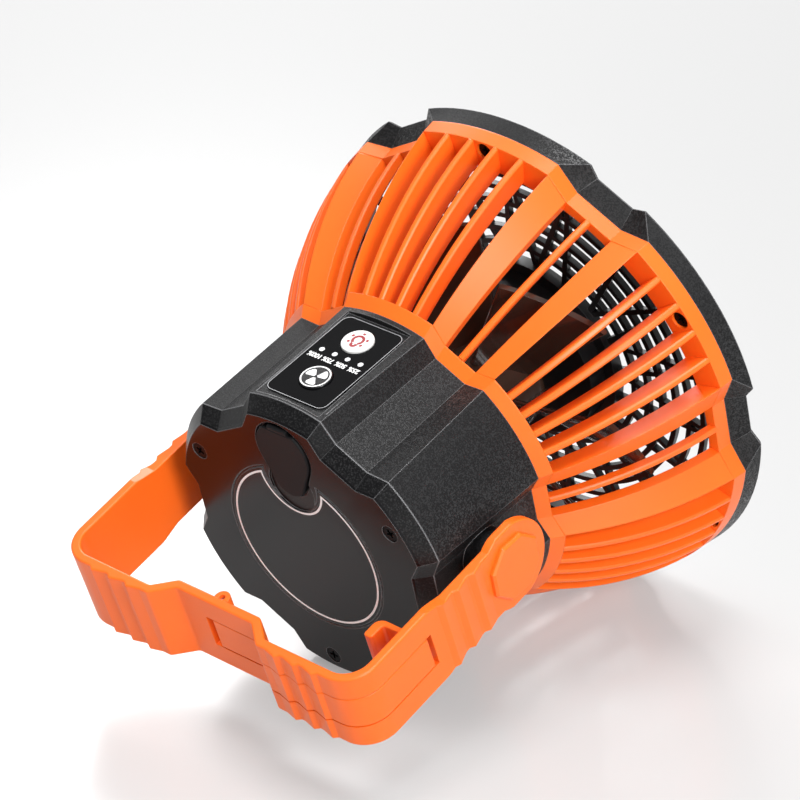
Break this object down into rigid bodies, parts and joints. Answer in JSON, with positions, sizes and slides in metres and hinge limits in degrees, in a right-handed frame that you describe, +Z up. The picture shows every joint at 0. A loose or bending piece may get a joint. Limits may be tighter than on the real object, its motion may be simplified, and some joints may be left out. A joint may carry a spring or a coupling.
{
  "type": "portable camping fan",
  "caption": "Battery table fan with a caged impeller, a lamp in the grille, and a tilting bail that serves as foot, handle and hanging hook.",
  "frame": {"origin": "middle of the footprint, on the surface that the fan stands on", "axes": "+Z up, +Y towards the front (the side that the air leaves from), +X along the bail pivots"},
  "size_m": [0.1686, 0.1836, 0.1646],
  "materials": {
    "orange_plastic": "satin",
    "black_plastic": "fine spark grain, satin",
    "grille_plastic": "satin",
    "blade_plastic": "gloss, smoky",
    "panel_film": "gloss",
    "white_button": "satin",
    "black_button": "satin",
    "light_pipe": "frosted clear",
    "rubber": "matte",
    "lamp_plastic": "satin",
    "lens_plastic": "frosted",
    "led_yellow": "phosphor coating",
    "lamp_board_white": "solder mask",
    "circuit_board": "solder mask",
    "screw_steel": "blackened",
    "motor_steel": "plated",
    "shaft_steel": "ground",
    "port_steel": "plated",
    "brass_insert": "machined",
    "nickel_strip": "plated",
    "cell_wrap": "shrink film",
    "inner_plastic": "matte",
    "washer_plastic": "matte"
  },
  "bodies": {
    "fan_body": {"cage_foot": "orange_plastic", "cage_ribs": "orange_plastic", "cage_rim": "orange_plastic", "front_bezel": "black_plastic", "drum": "black_plastic", "back_cover": "black_plastic", "front_grille": "grille_plastic", "rim_screws": "screw_steel", "lamp_cup": "lamp_plastic", "lamp_board": "lamp_board_white", "lamp_leds": "led_yellow", "lamp_lens": "lens_plastic", "motor_can": "motor_steel", "motor_end_cap": "inner_plastic", "motor_bracket": "inner_plastic", "motor_screws": "screw_steel", "bracket_screws": "screw_steel", "cage_screws": "screw_steel", "back_cover_screws": "screw_steel", "charging_port": "port_steel", "charge_board": "circuit_board", "control_board": "circuit_board", "board_screws": "screw_steel", "switch_bodies": "inner_plastic", "panel_overlay": "panel_film", "charge_lights": "light_pipe", "battery_cells": "cell_wrap", "battery_holder": "inner_plastic", "battery_tabs": "nickel_strip", "pivot_washers": "washer_plastic", "pivot_screws": "screw_steel"},
    "impeller": {"impeller": "blade_plastic", "impeller_collar": "brass_insert", "motor_shaft": "shaft_steel"},
    "bail": {"bail": "orange_plastic", "hook_pin": "shaft_steel", "left_pivot_cap": "orange_plastic", "right_pivot_cap": "orange_plastic"},
    "hook": {"hook": "orange_plastic"},
    "light_button": {"light_button": "white_button"},
    "fan_button": {"fan_button": "black_button"},
    "port_plug": {"port_plug": "rubber"}
  },
  "joints": [
    {"name": "impeller_spin", "type": "hinge", "parent": "fan_body", "child": "impeller", "pos_m": [0, 0.0377, 0.07438], "axis": [0, 0.9599, 0.2804], "continuous": true},
    {"name": "bail_tilt", "type": "hinge", "parent": "fan_body", "child": "bail", "pos_m": [0, -0.02008, 0.0575], "axis": [1, 0, 0], "range_deg": [-105, 95]},
    {"name": "hook_swing", "type": "hinge", "parent": "bail", "child": "hook", "pos_m": [0, -0.07655, 0.03551], "axis": [0, 0.363, -0.9318], "range_deg": [0, 105]},
    {"name": "light_press", "type": "slide", "parent": "fan_body", "child": "light_button", "axis": [0, 0.2804, -0.9599], "range_m": [0, 0.0006], "stiffness_N_per_m": 1500},
    {"name": "fan_press", "type": "slide", "parent": "fan_body", "child": "fan_button", "axis": [0, 0.2804, -0.9599], "range_m": [0, 0.0006], "stiffness_N_per_m": 1500},
    {"name": "plug_flap", "type": "hinge", "parent": "fan_body", "child": "port_plug", "pos_m": [0, -0.05746, 0.09524], "axis": [-1, 0, 0], "range_deg": [0, 100]}
  ]
}
